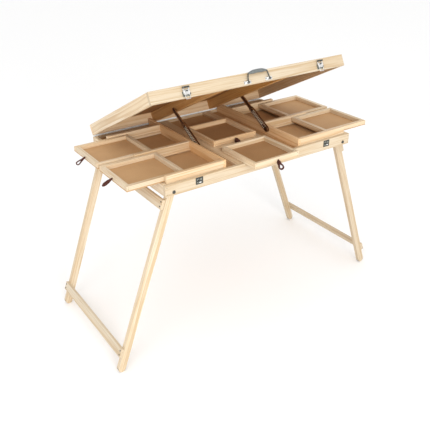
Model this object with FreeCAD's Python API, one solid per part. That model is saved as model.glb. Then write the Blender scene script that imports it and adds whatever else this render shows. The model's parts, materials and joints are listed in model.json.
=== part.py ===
"""Folding wooden easel table: a tray case on two folding leg frames, with a propped, hinged lid.

X runs along the case, Y from the handle side to the hinge side, Z up. Millimetres.
The origin is on the floor, under the middle of the whole object as it stands with its trays out.
Every length below is measured with Y = 0 at the outer face of the case's front rail;
save() then moves each piece to the origin.
"""
import FreeCAD, Part
import math
import os

V = FreeCAD.Vector

# case
LENGTH = 900.0
DEPTH = 606.0
CASE_TOP = 746.0
RAIL_HEIGHT = 44.0
RAIL_THICK = 14.0
CASE_BOTTOM = CASE_TOP - RAIL_HEIGHT
FLOOR_TOP = CASE_TOP - 12.0
FLOOR_THICK = 3.0

# lid
LID_TILT = 26.8
LID_HEIGHT = 46.0
LID_PANEL_THICK = 4.0
LID_PANEL_REST = 6.0
BATTEN_INNER_X = 135.0
BATTEN_OUTER_X = 165.0

# piano hinge
KNUCKLE_RADIUS = 2.3
HINGE_PIN_RADIUS = 0.95
HINGE_PIN_CLEAR = 0.05
HINGE_BEHIND = 2.7
HINGE_Y = DEPTH + HINGE_BEHIND
LEAF_WIDTH = 12.0
LEAF_THICK = 0.8
LEAF_RECESS = 1.0
KNUCKLES = 30
KNUCKLE_GAP = 0.3

# side cabinets
CABINET_INNER_X = 177.5
CABINET_END_X = 434.0
CABINET_FRONT_Y = 16.5
CABINET_REAR_Y = 504.0
CABINET_WALL = 12.0
CABINET_CROSS_WALL = 15.0
CABINET_WALL_END_Y = DEPTH - RAIL_THICK - 1.0
CABINET_TOP = CASE_TOP + 28.5
BAY_WIDTH = (CABINET_REAR_Y - CABINET_FRONT_Y - 3 * CABINET_CROSS_WALL) / 2
LEDGE_WIDTH = 8.0
LEDGE_HEIGHT = 8.0

# side trays, drawn out past the ends of the case
SIDE_TRAY_LENGTH = 236.0
SIDE_TRAY_HEIGHT = 19.5
SIDE_TRAY_WALL = 17.0
SIDE_TRAY_OUT_X = 581.0
SIDE_TRAY_BOTTOM = CASE_TOP + 2.5
SIDE_TRAY_CLEAR = 0.9
TRAY_WALL = 12.0
TRAY_FLOOR_THICK = 3.0
TRAY_FLOOR_UP = 1.5
TRAY_GLIDE = 0.3

# centre trays, drawn over the front rail
CENTRE_TRAY_HALF = 106.0
CENTRE_TRAY_DEPTH = 212.0
CENTRE_TRAY_HEIGHT = 23.0
FRONT_TRAY_Y = -67.0
REAR_TRAY_Y = 202.0
RUNNER_INNER_X = 96.0
RUNNER_OUTER_X = 133.0
SLAT_FRONT_Y = 178.0
SLAT_REAR_Y = 206.0

# leather pulls
PULL_OUT = 31.0
PULL_DOWN = 18.0
FRONT_PULL_DOWN = 11.0
PULL_NECK_RADIUS = 3.2
PULL_END_RADIUS = 8.5
SHORT_PULL_OUT = 17.0
SHORT_PULL_DOWN = 4.5
SHORT_PULL_END_RADIUS = 6.5
PULL_THICK = 2.2
PULL_WIDTH = 8.0

# lid stays
STAY_PIVOT_Y = 212.0
STAY_PIVOT_Z = CASE_TOP + 15.0
STAY_LID_Y = 396.0
STAY_LID_Z = CASE_TOP + 117.0
STAY_ANGLE = math.degrees(math.atan2(STAY_LID_Z - STAY_PIVOT_Z, STAY_LID_Y - STAY_PIVOT_Y))
STAY_LENGTH = 135.0
STAY_LOWER_HALF = 11.5
STAY_UPPER_HALF = 8.5
STAY_TEETH = 9
STAY_TOOTH_PITCH = 8.6
STAY_PLATE = 1.5
STAY_INNER_X = 168.8
STAY_OUTER_X = 174.2
STAY_UPPER_X = 171.1
STAY_UPPER_THICK = 2.3
STAY_PIN_RADIUS = 3.0
RUNNING_CLEAR = 0.05

# leg frames
SPLAY = 20.3
LEG_WIDTH = 30.0
LEG_THICK = 18.0
LEG_PIVOT_X = 415.0
LEG_PIVOT_Z = CASE_BOTTOM + 13.0
LEG_CLEAR = 0.5
LEG_NEST = LEG_THICK + 2.0
FRAME_WIDTH = DEPTH - 2 * RAIL_THICK - 2 * LEG_CLEAR - LEG_NEST
STRETCHER_WIDTH = 38.0
STRETCHER_THICK = 12.0
UPPER_STRETCHER_AT = 57.0
LOWER_STRETCHER_AT = 675.0
BOLT_RADIUS = 4.0
BOLT_HEAD_RADIUS = 7.0
BOLT_HEAD_THICK = 3.5
SCREW_SHANK_RADIUS = 1.7
SCREW_HEAD_RADIUS = 3.4
SCREW_LENGTH = 24.0
SCREW_HEAD_UP = 1.2

# handle, latches and catches, in the closed lid's own heights above the case's top edge
FITTINGS_X = 5.0
HANDLE_PIVOT_X = 49.5
HANDLE_PIVOT_UP = 10.0
HANDLE_OFF = 7.0
HANDLE_REACH = 32.0
HANDLE_LEAN = 5.0
HANDLE_ARM_RADIUS = 2.6
GRIP_RADIUS = 5.5
LATCH_X = 313.0
LATCH_WIDTH = 31.0
LATCH_LOW = 5.0
LATCH_HIGH = 23.0
LEVER_HIGH = 39.0
LEVER_BAR = 5.0
LEVER_STRAP = 4.5
LATCH_THICK = 1.2
LEVER_PIVOT_UP = 13.0
LEVER_PIVOT_OFF = 4.2
LOOP_PIVOT_UP = 24.0
LOOP_PIVOT_OFF = 6.6
LOOP_WIRE_RADIUS = 1.1
LOOP_HALF = 9.0
LOOP_LOW = -4.0
CATCH_WIDTH = 31.0
CATCH_HEIGHT = 27.0

# how far the object reaches in front and behind, which places its origin
FRONT_REACH = FRONT_TRAY_Y - PULL_OUT - PULL_END_RADIUS
REAR_REACH = HINGE_Y - HINGE_BEHIND * math.cos(math.radians(LID_TILT)) \
    + LID_HEIGHT * math.sin(math.radians(LID_TILT))
ORIGIN_Y = (FRONT_REACH + REAR_REACH) / 2


def save(name, *solids):
    """Move the solids of one piece to the object's own origin and write them."""
    shape = solids[0] if len(solids) == 1 else Part.makeCompound(list(solids))
    shape = shape.copy()
    shape.translate(V(0, -ORIGIN_Y, 0))
    shape.exportStep(f"parts/{name}.step")


def box(x0, x1, y0, y1, z0, z1):
    low_x, high_x = min(x0, x1), max(x0, x1)
    return Part.makeBox(high_x - low_x, y1 - y0, z1 - z0, V(low_x, y0, z0))


def rod(start, end, radius):
    way = end.sub(start)
    return Part.makeCylinder(radius, way.Length, start, way)


def fuse(first, *others):
    return first.multiFuse(list(others)).removeSplitter()


def tapered_slot(start, end, start_radius, end_radius):
    """A flat face in XY around two circles joined by their outer tangents."""
    way = end.sub(start)
    length = way.Length
    along = math.atan2(way.y, way.x)
    lean = math.acos((start_radius - end_radius) / length)

    def rim(centre, radius, angle):
        return centre.add(V(math.cos(angle), math.sin(angle), 0).multiply(radius))

    a = rim(start, start_radius, along + lean)
    back = rim(start, start_radius, along + math.pi)
    b = rim(start, start_radius, along - lean)
    c = rim(end, end_radius, along - lean)
    tip = rim(end, end_radius, along)
    d = rim(end, end_radius, along + lean)
    edges = [Part.Arc(a, back, b).toShape(), Part.LineSegment(b, c).toShape(),
             Part.Arc(c, tip, d).toShape(), Part.LineSegment(d, a).toShape()]
    return Part.Face(Part.Wire(edges))


def bar_in_yz(x0, thick, start, end, start_radius, end_radius):
    """A flat bar with rounded ends, standing in the YZ plane from x0 to x0 + thick."""
    face = tapered_slot(V(start[0], start[1], 0), V(end[0], end[1], 0), start_radius, end_radius)
    solid = face.extrude(V(0, 0, thick))
    solid.rotate(V(0, 0, 0), V(1, 1, 1), 120)
    solid.translate(V(x0, 0, 0))
    return solid


def tilt(shape):
    """Turn a piece of the closed lid about the hinge to where the stays hold it."""
    turned = shape.copy()
    turned.rotate(V(0, HINGE_Y, CASE_TOP), V(1, 0, 0), -LID_TILT)
    return turned


def lid_box(x0, x1, y0, y1, low, high):
    return box(x0, x1, y0, y1, CASE_TOP + low, CASE_TOP + high)


def mirror(shape):
    return shape.mirror(V(0, 0, 0), V(1, 0, 0))


def leg_y(side, row):
    """The front face of a leg: side -1 is the left frame, row 0 the leg nearer the handle."""
    start = RAIL_THICK + LEG_CLEAR + (LEG_NEST if side > 0 else 0.0)
    return start + (FRAME_WIDTH - LEG_THICK if row else 0.0)


def bolt_holes(shape):
    for side in (-1, 1):
        start = V(side * LEG_PIVOT_X, -1, LEG_PIVOT_Z)
        shape = shape.cut(rod(start, start.add(V(0, DEPTH + 2, 0)), BOLT_RADIUS + RUNNING_CLEAR))
    return shape


def case_rails():
    half = LENGTH / 2
    front = box(-half, half, 0, RAIL_THICK, CASE_BOTTOM, CASE_TOP)
    rear = box(-half, half, DEPTH - RAIL_THICK, DEPTH, CASE_BOTTOM, CASE_TOP)
    rear = rear.cut(box(-half, half, DEPTH - LEAF_WIDTH, DEPTH, CASE_TOP - LEAF_RECESS, CASE_TOP))
    end = box(half - RAIL_THICK, half, RAIL_THICK, DEPTH - RAIL_THICK, CASE_BOTTOM, CASE_TOP)
    save("case_front_rail", bolt_holes(front))
    save("case_rear_rail", bolt_holes(rear))
    save("case_right_end_rail", end)
    save("case_left_end_rail", mirror(end))


def case_floor():
    half = LENGTH / 2 - RAIL_THICK
    save("case_floor", box(-half, half, RAIL_THICK, DEPTH - RAIL_THICK,
                           FLOOR_TOP - FLOOR_THICK, FLOOR_TOP))


def cabinet(name, side):
    inner = side * (CABINET_INNER_X + CABINET_WALL)
    end = side * CABINET_END_X
    walls = [box(side * CABINET_INNER_X, inner, CABINET_FRONT_Y, CABINET_WALL_END_Y,
                 FLOOR_TOP, CABINET_TOP)]
    pin = V(side * (CABINET_INNER_X - 1), STAY_PIVOT_Y, STAY_PIVOT_Z)
    hole = rod(pin, pin.add(V(side * (CABINET_WALL + 2), 0, 0)), STAY_PIN_RADIUS)
    walls[0] = walls[0].cut(hole)
    for row in range(3):
        front = CABINET_FRONT_Y + row * (BAY_WIDTH + CABINET_CROSS_WALL)
        walls.append(box(inner, end, front, front + CABINET_CROSS_WALL, FLOOR_TOP, CABINET_TOP))
    save(name, *walls)


def tray_runners():
    """The two rails and the slat under the centre trays, and the ledges under the side trays."""
    solids = [box(-RUNNER_INNER_X, RUNNER_INNER_X, SLAT_FRONT_Y, SLAT_REAR_Y, FLOOR_TOP, CASE_TOP)]
    for side in (-1, 1):
        solids.append(box(side * RUNNER_INNER_X, side * RUNNER_OUTER_X, RAIL_THICK,
                          DEPTH - RAIL_THICK, FLOOR_TOP, CASE_TOP))
        for bay in range(2):
            low = bay_start(bay)
            for start in (low, low + BAY_WIDTH - LEDGE_WIDTH):
                top = SIDE_TRAY_BOTTOM - TRAY_GLIDE
                solids.append(box(side * (CABINET_INNER_X + CABINET_WALL), side * CABINET_END_X,
                                  start, start + LEDGE_WIDTH, top - LEDGE_HEIGHT, top))
    save("tray_runners", *solids)


def bay_start(bay):
    return CABINET_FRONT_Y + CABINET_CROSS_WALL + bay * (BAY_WIDTH + CABINET_CROSS_WALL)


def frame_walls(x0, x1, y0, y1, bottom, top, wall):
    return [box(x0, x1, y0, y0 + wall, bottom, top),
            box(x0, x1, y1 - wall, y1, bottom, top),
            box(x0, x0 + wall, y0 + wall, y1 - wall, bottom, top),
            box(x1 - wall, x1, y0 + wall, y1 - wall, bottom, top)]


def side_tray(name, side, y0, y1):
    """Four thick walls on a hardboard floor as large as the frame, and a leather pull at the outer end."""
    inner, outer = side * (SIDE_TRAY_OUT_X - SIDE_TRAY_LENGTH), side * SIDE_TRAY_OUT_X
    x0, x1 = min(inner, outer), max(inner, outer)
    floor = SIDE_TRAY_BOTTOM + TRAY_FLOOR_THICK
    top = SIDE_TRAY_BOTTOM + SIDE_TRAY_HEIGHT
    save(name + "_frame", *frame_walls(x0, x1, y0, y1, floor, top, SIDE_TRAY_WALL))
    save(name + "_floor", box(x0, x1, y0, y1, SIDE_TRAY_BOTTOM, floor))
    save(name + "_pull", pull(side * 90, V(outer, (y0 + y1) / 2, (floor + top) / 2)))


def centre_tray(name, y0, *pull_size):
    """Four walls, a hardboard floor let in between them, and a leather pull at the front."""
    x1, y1 = CENTRE_TRAY_HALF, y0 + CENTRE_TRAY_DEPTH
    bottom = CASE_TOP + TRAY_GLIDE
    save(name + "_frame", *frame_walls(-x1, x1, y0, y1, bottom, bottom + CENTRE_TRAY_HEIGHT, TRAY_WALL))
    floor = bottom + TRAY_FLOOR_UP
    save(name + "_floor", box(TRAY_WALL - x1, x1 - TRAY_WALL, y0 + TRAY_WALL, y1 - TRAY_WALL,
                              floor, floor + TRAY_FLOOR_THICK))
    save(name + "_pull", pull(0, V(0, y0, bottom + CENTRE_TRAY_HEIGHT / 2), *pull_size))


def pull(turn, root, out=PULL_OUT, down=PULL_DOWN, end_radius=PULL_END_RADIUS):
    """A leather loop that stands out of a tray's wall and droops; drawn towards -Y, then turned."""
    start, end = V(-PULL_NECK_RADIUS, 0, 0), V(-out, -down, 0)
    outer = tapered_slot(start, end, PULL_NECK_RADIUS, end_radius)
    inner = tapered_slot(start, end, PULL_NECK_RADIUS - PULL_THICK, end_radius - PULL_THICK)
    band = outer.cut(inner).extrude(V(0, 0, PULL_WIDTH))
    band.rotate(V(0, 0, 0), V(1, 1, 1), 120)
    band.translate(V(-PULL_WIDTH / 2, 0, 0))
    band.rotate(V(0, 0, 0), V(0, 0, 1), turn)
    band.translate(root)
    return band


def trays():
    for bay, row in enumerate(("front", "rear")):
        y0 = bay_start(bay) + SIDE_TRAY_CLEAR
        y1 = bay_start(bay) + BAY_WIDTH - SIDE_TRAY_CLEAR
        side_tray(f"left_{row}_tray", -1, y0, y1)
        side_tray(f"right_{row}_tray", 1, y0, y1)
    centre_tray("centre_front_tray", FRONT_TRAY_Y, PULL_OUT, FRONT_PULL_DOWN)
    centre_tray("centre_rear_tray", REAR_TRAY_Y, SHORT_PULL_OUT, SHORT_PULL_DOWN, SHORT_PULL_END_RADIUS)


def hinge_leaf(low, high, first):
    """One leaf and every second knuckle, for the closed lid."""
    half = LENGTH / 2
    edge = HINGE_Y - KNUCKLE_RADIUS - KNUCKLE_GAP
    pitch = LENGTH / KNUCKLES
    pieces = []
    for n in range(first, KNUCKLES, 2):
        start = V(-half + n * pitch + KNUCKLE_GAP / 2, HINGE_Y, CASE_TOP)
        length = pitch - KNUCKLE_GAP
        pieces.append(rod(start, start.add(V(length, 0, 0)), KNUCKLE_RADIUS))
        pieces.append(box(start.x, start.x + length, edge, HINGE_Y, low, high))
    leaf = fuse(box(-half, half, DEPTH - LEAF_WIDTH, edge, low, high), *pieces)
    bore = rod(V(-half - 1, HINGE_Y, CASE_TOP), V(half + 1, HINGE_Y, CASE_TOP),
               HINGE_PIN_RADIUS + HINGE_PIN_CLEAR)
    return leaf.cut(bore)


def hinge():
    half = LENGTH / 2
    low = CASE_TOP - LEAF_RECESS
    save("hinge_lower_leaf", hinge_leaf(low, low + LEAF_THICK, 0))
    high = CASE_TOP + LEAF_RECESS
    save("hinge_upper_leaf", tilt(hinge_leaf(high - LEAF_THICK, high, 1)))
    save("hinge_pin", rod(V(-half, HINGE_Y, CASE_TOP), V(half, HINGE_Y, CASE_TOP), HINGE_PIN_RADIUS))


def lid_rails():
    half = LENGTH / 2
    under = LID_HEIGHT - LID_PANEL_THICK
    inside = half - LID_PANEL_REST
    rebate = lid_box(-inside, inside, LID_PANEL_REST, DEPTH - LID_PANEL_REST, under, LID_HEIGHT)
    front = lid_box(-half, half, 0, RAIL_THICK, 0, LID_HEIGHT).cut(rebate)
    rear = lid_box(-half, half, DEPTH - RAIL_THICK, DEPTH, 0, LID_HEIGHT).cut(rebate)
    rear = rear.cut(lid_box(-half, half, DEPTH - LEAF_WIDTH, DEPTH, 0, LEAF_RECESS))
    end = lid_box(half - RAIL_THICK, half, RAIL_THICK, DEPTH - RAIL_THICK, 0, LID_HEIGHT).cut(rebate)
    save("lid_front_rail", tilt(front))
    save("lid_rear_rail", tilt(rear))
    save("lid_right_rail", tilt(end))
    save("lid_left_rail", tilt(mirror(end)))
    save("lid_panel", tilt(rebate))


def stay_in_closed_lid():
    """Where the stay's upper pin lies when the lid is turned down onto the case."""
    angle = math.radians(LID_TILT)
    y, z = STAY_LID_Y - HINGE_Y, STAY_LID_Z - CASE_TOP
    return HINGE_Y + y * math.cos(angle) - z * math.sin(angle), y * math.sin(angle) + z * math.cos(angle)


def lid_battens():
    under = LID_HEIGHT - LID_PANEL_THICK
    batten = lid_box(BATTEN_INNER_X, BATTEN_OUTER_X, RAIL_THICK, DEPTH - RAIL_THICK, 1, under)
    y, up = stay_in_closed_lid()
    start = V(BATTEN_OUTER_X + 1, y, CASE_TOP + up)
    batten = batten.cut(rod(start, start.sub(V(16, 0, 0)), STAY_PIN_RADIUS))
    save("lid_battens", tilt(batten), tilt(mirror(batten)))


def headed_pin(start, way, length, head_thick):
    """A pin with a flat head past its far end."""
    end = start.add(V(way * length, 0, 0))
    tip = end.add(V(way * head_thick, 0, 0))
    return fuse(rod(start, end, STAY_PIN_RADIUS), rod(end, tip, STAY_PIN_RADIUS + 2))


def lower_stay_arm():
    """Two toothed plates joined by a spacer, hung on a pin in the cabinet's wall."""
    pivot = (STAY_PIVOT_Y, STAY_PIVOT_Z)
    far = (pivot[0] + STAY_LENGTH - STAY_LOWER_HALF, pivot[1])
    plates = [bar_in_yz(x, STAY_PLATE, pivot, far, STAY_LOWER_HALF, STAY_LOWER_HALF)
              for x in (STAY_INNER_X, STAY_OUTER_X)]
    slot_start, slot_end = (pivot[0] + 32, pivot[1] - 3), (far[0] - 12, pivot[1] - 3)
    slot = bar_in_yz(STAY_INNER_X - 1, 9, slot_start, slot_end, 2.2, 2.2)
    teeth = []
    for n in range(STAY_TEETH):
        y = slot_start[0] + 4 + n * STAY_TOOTH_PITCH
        teeth.append(bar_in_yz(STAY_INNER_X - 1, 9, (y, pivot[1] - 2), (y - 3, pivot[1] + 4.5), 1.8, 1.8))
    spacer = rod(V(STAY_INNER_X, pivot[0] + 14, pivot[1]),
                 V(STAY_OUTER_X + STAY_PLATE, pivot[0] + 14, pivot[1]), 2.6)
    arm = fuse(plates[0], plates[1], spacer).cut(slot.multiFuse(teeth))
    hole = rod(V(STAY_INNER_X - 1, *pivot), V(CABINET_INNER_X, *pivot), STAY_PIN_RADIUS + RUNNING_CLEAR)
    arm = arm.cut(hole)
    arm.rotate(V(0, *pivot), V(1, 0, 0), STAY_ANGLE)
    return arm


def upper_stay_arm():
    """A plain bar hung on a pin in the batten, sliding between the lower arm's plates."""
    pin = (STAY_LID_Y, STAY_LID_Z)
    far = (pin[0] - STAY_LENGTH + STAY_UPPER_HALF, pin[1])
    arm = bar_in_yz(STAY_UPPER_X, STAY_UPPER_THICK, far, pin, STAY_UPPER_HALF, STAY_UPPER_HALF + 0.3)
    hole = rod(V(STAY_UPPER_X - 1, *pin), V(STAY_UPPER_X + 4, *pin), STAY_PIN_RADIUS + RUNNING_CLEAR)
    arm = arm.cut(hole)
    arm.rotate(V(0, *pin), V(1, 0, 0), STAY_ANGLE)
    return arm


def stays():
    lower, upper = lower_stay_arm(), upper_stay_arm()
    save("right_stay_lower_arm", lower)
    save("left_stay_lower_arm", mirror(lower))
    save("right_stay_upper_arm", upper)
    save("left_stay_upper_arm", mirror(upper))
    case_pin = headed_pin(V(CABINET_INNER_X + 8, STAY_PIVOT_Y, STAY_PIVOT_Z), -1,
                          CABINET_INNER_X + 8 - STAY_INNER_X + 0.3, 1.5)
    save("stay_case_pins", case_pin, mirror(case_pin))
    start = BATTEN_OUTER_X - 12
    lid_pin = headed_pin(V(start, STAY_LID_Y, STAY_LID_Z), 1,
                         STAY_UPPER_X + STAY_UPPER_THICK + 0.3 - start, 1.5)
    save("stay_lid_pins", lid_pin, mirror(lid_pin))


def splay(shape, side):
    """Turn a piece of a leg frame drawn hanging straight down out to its stop."""
    turned = shape.copy()
    turned.rotate(V(side * LEG_PIVOT_X, 0, LEG_PIVOT_Z), V(0, 1, 0), -side * SPLAY)
    return turned


def screw_spots(side):
    """Y and Z of each stretcher screw while its frame hangs straight down."""
    spots = []
    for at in (UPPER_STRETCHER_AT, LOWER_STRETCHER_AT):
        for row in range(2):
            y = leg_y(side, row) + LEG_THICK / 2
            for up in (-9.0, 9.0):
                spots.append((y, LEG_PIVOT_Z - at + up))
    return spots


def leg_frame(name, side):
    pivot_x = side * LEG_PIVOT_X
    face = side * LEG_WIDTH / 2
    outer = pivot_x + face + side * STRETCHER_THICK
    drills = []
    screws = []
    for y, z in screw_spots(side):
        head = V(outer, y, z)
        way = V(-side, 0, 0)
        drills.append(rod(head, head.add(V(way.x * SCREW_LENGTH, 0, 0)), SCREW_SHANK_RADIUS + RUNNING_CLEAR))
        shank = rod(head, head.add(V(way.x * (SCREW_LENGTH - 0.5), 0, 0)), SCREW_SHANK_RADIUS)
        cap = Part.makeCone(SCREW_HEAD_RADIUS, SCREW_HEAD_RADIUS - 1.2, SCREW_HEAD_UP, head, V(side, 0, 0))
        screws.append(splay(fuse(shank, cap), side))
    save(f"{name}_leg_screws", *screws)
    foot = LEG_PIVOT_Z - (LEG_PIVOT_Z - LEG_WIDTH / 2) / math.cos(math.radians(SPLAY))
    for row, word in enumerate(("front", "rear")):
        y0 = leg_y(side, row)
        leg = box(pivot_x - LEG_WIDTH / 2, pivot_x + LEG_WIDTH / 2, y0, y0 + LEG_THICK, foot, LEG_PIVOT_Z)
        ends = [rod(V(pivot_x, y0, z), V(pivot_x, y0 + LEG_THICK, z), LEG_WIDTH / 2)
                for z in (foot, LEG_PIVOT_Z)]
        leg = fuse(leg, *ends)
        hole = rod(V(pivot_x, y0 - 1, LEG_PIVOT_Z), V(pivot_x, y0 + LEG_THICK + 1, LEG_PIVOT_Z),
                   BOLT_RADIUS + RUNNING_CLEAR)
        leg = leg.cut([hole] + drills)
        save(f"{name}_{word}_leg", splay(leg, side))
    for word, at in (("upper", UPPER_STRETCHER_AT), ("lower", LOWER_STRETCHER_AT)):
        middle = LEG_PIVOT_Z - at
        board = box(pivot_x + face, outer, leg_y(side, 0), leg_y(side, 0) + FRAME_WIDTH,
                    middle - STRETCHER_WIDTH / 2, middle + STRETCHER_WIDTH / 2)
        save(f"{name}_{word}_stretcher", splay(board.cut(drills), side))


def leg_bolt(side, row):
    """A bolt through a case rail and a leg, with a bush where the leg stands off the rail."""
    x = side * LEG_PIVOT_X
    near = leg_y(side, row)
    if row:
        rail_out, rail_in, leg_near, leg_far, way = DEPTH, DEPTH - RAIL_THICK, near + LEG_THICK, near, -1
    else:
        rail_out, rail_in, leg_near, leg_far, way = 0.0, RAIL_THICK, near, near + LEG_THICK, 1

    def at(y):
        return V(x, y, LEG_PIVOT_Z)

    nut_start = leg_far + way * 0.5
    pieces = [rod(at(rail_out), at(nut_start + way * 6), BOLT_RADIUS),
              rod(at(nut_start), at(nut_start + way * 4), BOLT_HEAD_RADIUS - 0.5)]
    if abs(leg_near - rail_in) > 2:
        pieces.append(rod(at(rail_in), at(leg_near - way * 0.3), BOLT_HEAD_RADIUS))
    head = Part.makeCone(BOLT_HEAD_RADIUS, BOLT_HEAD_RADIUS - 2.5, BOLT_HEAD_THICK, at(rail_out), V(0, -way, 0))
    return fuse(head, *pieces)


def catch_plate(x):
    """A screwed plate with a hook that a latch's loop pulls up on."""
    half = CATCH_WIDTH / 2
    high = CASE_TOP - 1
    plate = box(x - half, x + half, -LATCH_THICK, 0, high - CATCH_HEIGHT, high)
    stem = box(x - LOOP_HALF + 3, x + LOOP_HALF - 3, -5.5, -LATCH_THICK, high - 14, high - 12)
    lip = box(x - LOOP_HALF + 3, x + LOOP_HALF - 3, -5.5, -4.3, high - 18, high - 12)
    return fuse(plate, stem, lip)


def latch_plate(x):
    """The lid's latch plate with two ears that hold the lever's pin."""
    half = LATCH_WIDTH / 2
    pieces = []
    for ear in (x - half, x + half - 1.5):
        tab = lid_box(ear, ear + 1.5, -LEVER_PIVOT_OFF, -LATCH_THICK, LEVER_PIVOT_UP - 3, LEVER_PIVOT_UP + 3)
        nose = rod(V(ear, -LEVER_PIVOT_OFF, CASE_TOP + LEVER_PIVOT_UP),
                   V(ear + 1.5, -LEVER_PIVOT_OFF, CASE_TOP + LEVER_PIVOT_UP), 3)
        pieces += [tab, nose]
    pin = rod(V(x - half, -LEVER_PIVOT_OFF, CASE_TOP + LEVER_PIVOT_UP),
              V(x + half, -LEVER_PIVOT_OFF, CASE_TOP + LEVER_PIVOT_UP), 1.0)
    plate = lid_box(x - half, x + half, -LATCH_THICK, 0, LATCH_LOW, LATCH_HIGH)
    return tilt(fuse(plate, pin, *pieces))


def latch_lever(x):
    """The finger lever: a plate rolled round the pin, with two lugs that hold the loop."""
    half = LATCH_WIDTH / 2 - 2.0
    pivot = V(0, -LEVER_PIVOT_OFF, CASE_TOP + LEVER_PIVOT_UP)
    roll = rod(V(x - half, pivot.y, pivot.z), V(x + half, pivot.y, pivot.z), 2.2)
    blade = lid_box(x - half, x + half, -LEVER_PIVOT_OFF - 2.2, -LEVER_PIVOT_OFF - 1.0,
                    LEVER_PIVOT_UP, LEVER_HIGH)
    window = lid_box(x - half + LEVER_STRAP, x + half - LEVER_STRAP, -LEVER_PIVOT_OFF - 3, -LEVER_PIVOT_OFF,
                     LOOP_PIVOT_UP + 3.5, LEVER_HIGH - LEVER_BAR)
    blade = blade.cut(window)
    lip = lid_box(x - half, x + half, -LEVER_PIVOT_OFF - 6.0, -LEVER_PIVOT_OFF - 1.0,
                  LEVER_HIGH - 1.2, LEVER_HIGH)
    lugs = [lid_box(x + s * (LOOP_HALF - 3.2) - 1, x + s * (LOOP_HALF - 3.2) + 1, -LOOP_PIVOT_OFF - 2.2,
                    -LEVER_PIVOT_OFF - 1.0, LOOP_PIVOT_UP - 2.4, LOOP_PIVOT_UP + 2.4) for s in (-1, 1)]
    lever = fuse(roll, blade, lip, *lugs)
    bore = rod(V(x - half - 1, pivot.y, pivot.z), V(x + half + 1, pivot.y, pivot.z), 1.0 + RUNNING_CLEAR)
    loop_bore = rod(V(x - half, -LOOP_PIVOT_OFF - 1.0, CASE_TOP + LOOP_PIVOT_UP),
                    V(x + half, -LOOP_PIVOT_OFF - 1.0, CASE_TOP + LOOP_PIVOT_UP),
                    LOOP_WIRE_RADIUS + RUNNING_CLEAR)
    return tilt(lever.cut([bore, loop_bore]))


def latch_loop(x):
    """A wire rectangle whose top bar turns in the lever's lugs."""
    y = -LOOP_PIVOT_OFF - 1.0
    top, low = CASE_TOP + LOOP_PIVOT_UP, CASE_TOP + LOOP_LOW
    corners = [V(x - LOOP_HALF, y, top), V(x + LOOP_HALF, y, top),
               V(x + LOOP_HALF, y, low), V(x - LOOP_HALF, y, low)]
    pieces = []
    for n in range(4):
        pieces.append(rod(corners[n], corners[(n + 1) % 4], LOOP_WIRE_RADIUS))
        pieces.append(Part.makeSphere(LOOP_WIRE_RADIUS, corners[n]))
    return tilt(fuse(pieces[0], *pieces[1:]))


def latches():
    left, right = FITTINGS_X - LATCH_X, FITTINGS_X + LATCH_X
    save("catch_plates", catch_plate(left), catch_plate(right))
    save("latch_plates", latch_plate(left), latch_plate(right))
    for name, x in (("left", left), ("right", right)):
        save(f"{name}_latch_lever", latch_lever(x))
        save(f"{name}_latch_loop", latch_loop(x))


def handle():
    """Two screwed brackets and a bail with a thick grip, leaning up against the lid's front."""
    pivot_z = CASE_TOP + HANDLE_PIVOT_UP
    brackets = []
    for side in (-1, 1):
        x = FITTINGS_X + side * HANDLE_PIVOT_X
        plate = lid_box(x - 16, x + 16, -1.5, 0, HANDLE_PIVOT_UP - 6, HANDLE_PIVOT_UP + 6)
        ears = [lid_box(x + s * 5.5 - 1, x + s * 5.5 + 1, -HANDLE_OFF - 2.5, -1.5,
                        HANDLE_PIVOT_UP - 4, HANDLE_PIVOT_UP + 4) for s in (-1, 1)]
        pin = rod(V(x - 6.5, -HANDLE_OFF, pivot_z), V(x + 6.5, -HANDLE_OFF, pivot_z), 1.5)
        brackets.append(tilt(fuse(plate, pin, *ears)))
    save("handle_brackets", *brackets)
    grip_z = pivot_z + HANDLE_REACH
    half = HANDLE_PIVOT_X - 6.5
    pieces = [rod(V(FITTINGS_X - half, -HANDLE_OFF, grip_z), V(FITTINGS_X + half, -HANDLE_OFF, grip_z), GRIP_RADIUS)]
    for side in (-1, 1):
        eye = V(FITTINGS_X + side * HANDLE_PIVOT_X, -HANDLE_OFF, pivot_z)
        shoulder = V(FITTINGS_X + side * half, -HANDLE_OFF, grip_z)
        pieces.append(Part.makeSphere(GRIP_RADIUS, shoulder))
        pieces.append(rod(eye, shoulder, HANDLE_ARM_RADIUS))
        pieces.append(rod(eye.sub(V(3.5, 0, 0)), eye.add(V(3.5, 0, 0)), HANDLE_ARM_RADIUS + 1.2))
    bail = fuse(pieces[0], *pieces[1:])
    bail = bail.cut(rod(V(-80, -HANDLE_OFF, pivot_z), V(80, -HANDLE_OFF, pivot_z), 1.5 + RUNNING_CLEAR))
    bail.rotate(V(0, -HANDLE_OFF, pivot_z), V(1, 0, 0), HANDLE_LEAN)
    save("handle", tilt(bail))


def main():
    os.makedirs("parts", exist_ok=True)
    case_rails()
    case_floor()
    cabinet("left_cabinet_walls", -1)
    cabinet("right_cabinet_walls", 1)
    tray_runners()
    trays()
    hinge()
    lid_rails()
    lid_battens()
    stays()
    leg_frame("left", -1)
    leg_frame("right", 1)
    save("leg_bolts", *[leg_bolt(side, row) for side in (-1, 1) for row in range(2)])
    latches()
    handle()


main()
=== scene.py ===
"""Looks of the folding easel table: eased pine boards, hardboard, plated hardware and leather pulls.

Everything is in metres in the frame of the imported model. Lengths named here in millimetres are turned
into metres by MM.
"""
import json
import math
import random

import bmesh
import bpy
from mathutils import Matrix, Quaternion, Vector


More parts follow.
